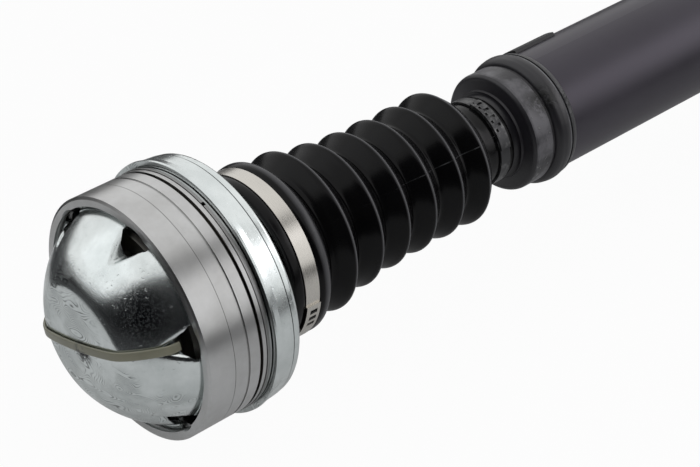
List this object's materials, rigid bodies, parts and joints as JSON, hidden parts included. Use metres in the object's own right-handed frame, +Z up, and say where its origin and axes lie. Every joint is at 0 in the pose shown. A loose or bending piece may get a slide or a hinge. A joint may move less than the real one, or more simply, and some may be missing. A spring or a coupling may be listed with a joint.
{
  "type": "drive shaft",
  "caption": "Tubular propeller shaft with a caged ball joint and bellows boot at one end and a cross joint with a bolted flange at the other",
  "frame": {"origin": "centre of the ball joint, on the shaft's axis", "axes": "+X along the shaft from the ball joint to the bolted flange, +Z up, +Y to complete a right-handed frame"},
  "size_m": [0.6626, 0.1008, 0.1008],
  "materials": {
    "ground_steel": "ground bright steel",
    "zinc_plate": "bright zinc plate",
    "band_rubber": "olive rubber",
    "spring_steel": "dark spring steel",
    "stainless_band": "stainless strip",
    "black_band": "black coated strip",
    "boot_rubber": "glossy black",
    "bearing_steel": "polished bearing steel",
    "cage_steel": "hardened steel",
    "turned_steel": "turned steel",
    "black_paint": "satin black paint",
    "forged_steel": "forged and ground",
    "seal_rubber": "matt black",
    "cup_steel": "ground steel cup"
  },
  "bodies": {
    "shaft": {"slip_sleeve": "black_paint", "sleeve_plug": "zinc_plate", "weld_front": "black_paint", "shaft_tube": "black_paint", "balance_weight": "black_paint", "weld_rear": "black_paint", "tube_yoke": "black_paint", "small_clamp": "black_band", "bearing_cup_1": "cup_steel", "bearing_cup_3": "cup_steel", "cup_ring_1": "spring_steel", "cup_ring_3": "spring_steel"},
    "stub": {"stub_shaft": "turned_steel", "inner_race": "bearing_steel", "stub_circlip": "spring_steel"},
    "boot_back": {"boot_rear": "boot_rubber"},
    "cage": {"ball_cage": "cage_steel", "ball_1": "bearing_steel", "ball_2": "bearing_steel", "ball_3": "bearing_steel", "ball_4": "bearing_steel", "ball_5": "bearing_steel", "ball_6": "bearing_steel"},
    "boot_lead": {"boot_front": "boot_rubber"},
    "race": {"outer_race": "ground_steel", "stop_cap": "zinc_plate", "cap_band": "band_rubber", "race_snap_ring": "spring_steel", "boot_can": "zinc_plate", "large_clamp": "stainless_band"},
    "cross": {"cross": "forged_steel", "grease_fitting": "zinc_plate", "trunnion_seal_1": "seal_rubber", "trunnion_seal_2": "seal_rubber", "trunnion_seal_3": "seal_rubber", "trunnion_seal_4": "seal_rubber"},
    "flange": {"flange_yoke": "black_paint", "bearing_cup_2": "cup_steel", "bearing_cup_4": "cup_steel", "cup_ring_2": "spring_steel", "cup_ring_4": "spring_steel"}
  },
  "joints": [
    {"name": "spline_slide", "type": "slide", "parent": "shaft", "child": "stub", "axis": [1, 0, 0], "range_m": [-0.02, 0.02], "deforming": ["boot_rear", "boot_front"]},
    {"name": "bend_pitch", "type": "hinge", "parent": "stub", "child": "boot_back", "pos_m": [0, 0, 0], "axis": [0, 1, 0], "range_deg": [-5, 5], "deforming": ["boot_rear"]},
    {"name": "bend_yaw", "type": "hinge", "parent": "boot_back", "child": "cage", "pos_m": [0, 0, 0], "axis": [0, 0, 1], "range_deg": [-5, 5], "deforming": ["boot_rear"]},
    {"name": "bend_yaw_out", "type": "hinge", "parent": "cage", "child": "boot_lead", "pos_m": [0, 0, 0], "axis": [0, 0, 1], "range_deg": [-5, 5], "deforming": ["boot_front"]},
    {"name": "bend_pitch_out", "type": "hinge", "parent": "boot_lead", "child": "race", "pos_m": [0, 0, 0], "axis": [0, 1, 0], "range_deg": [-5, 5], "deforming": ["boot_front"]},
    {"name": "cross_hinge", "type": "hinge", "parent": "shaft", "child": "cross", "pos_m": [0.575, 0, 0], "axis": [0, 1, 0], "range_deg": [-18, 18]},
    {"name": "flange_hinge", "type": "hinge", "parent": "cross", "child": "flange", "pos_m": [0.575, 0, 0], "axis": [0, 0, 1], "range_deg": [-18, 18]}
  ],
  "couplings": [
    {"joint": "bend_yaw_out", "follows": "bend_yaw", "ratio": 1},
    {"joint": "bend_pitch_out", "follows": "bend_pitch", "ratio": 1}
  ]
}
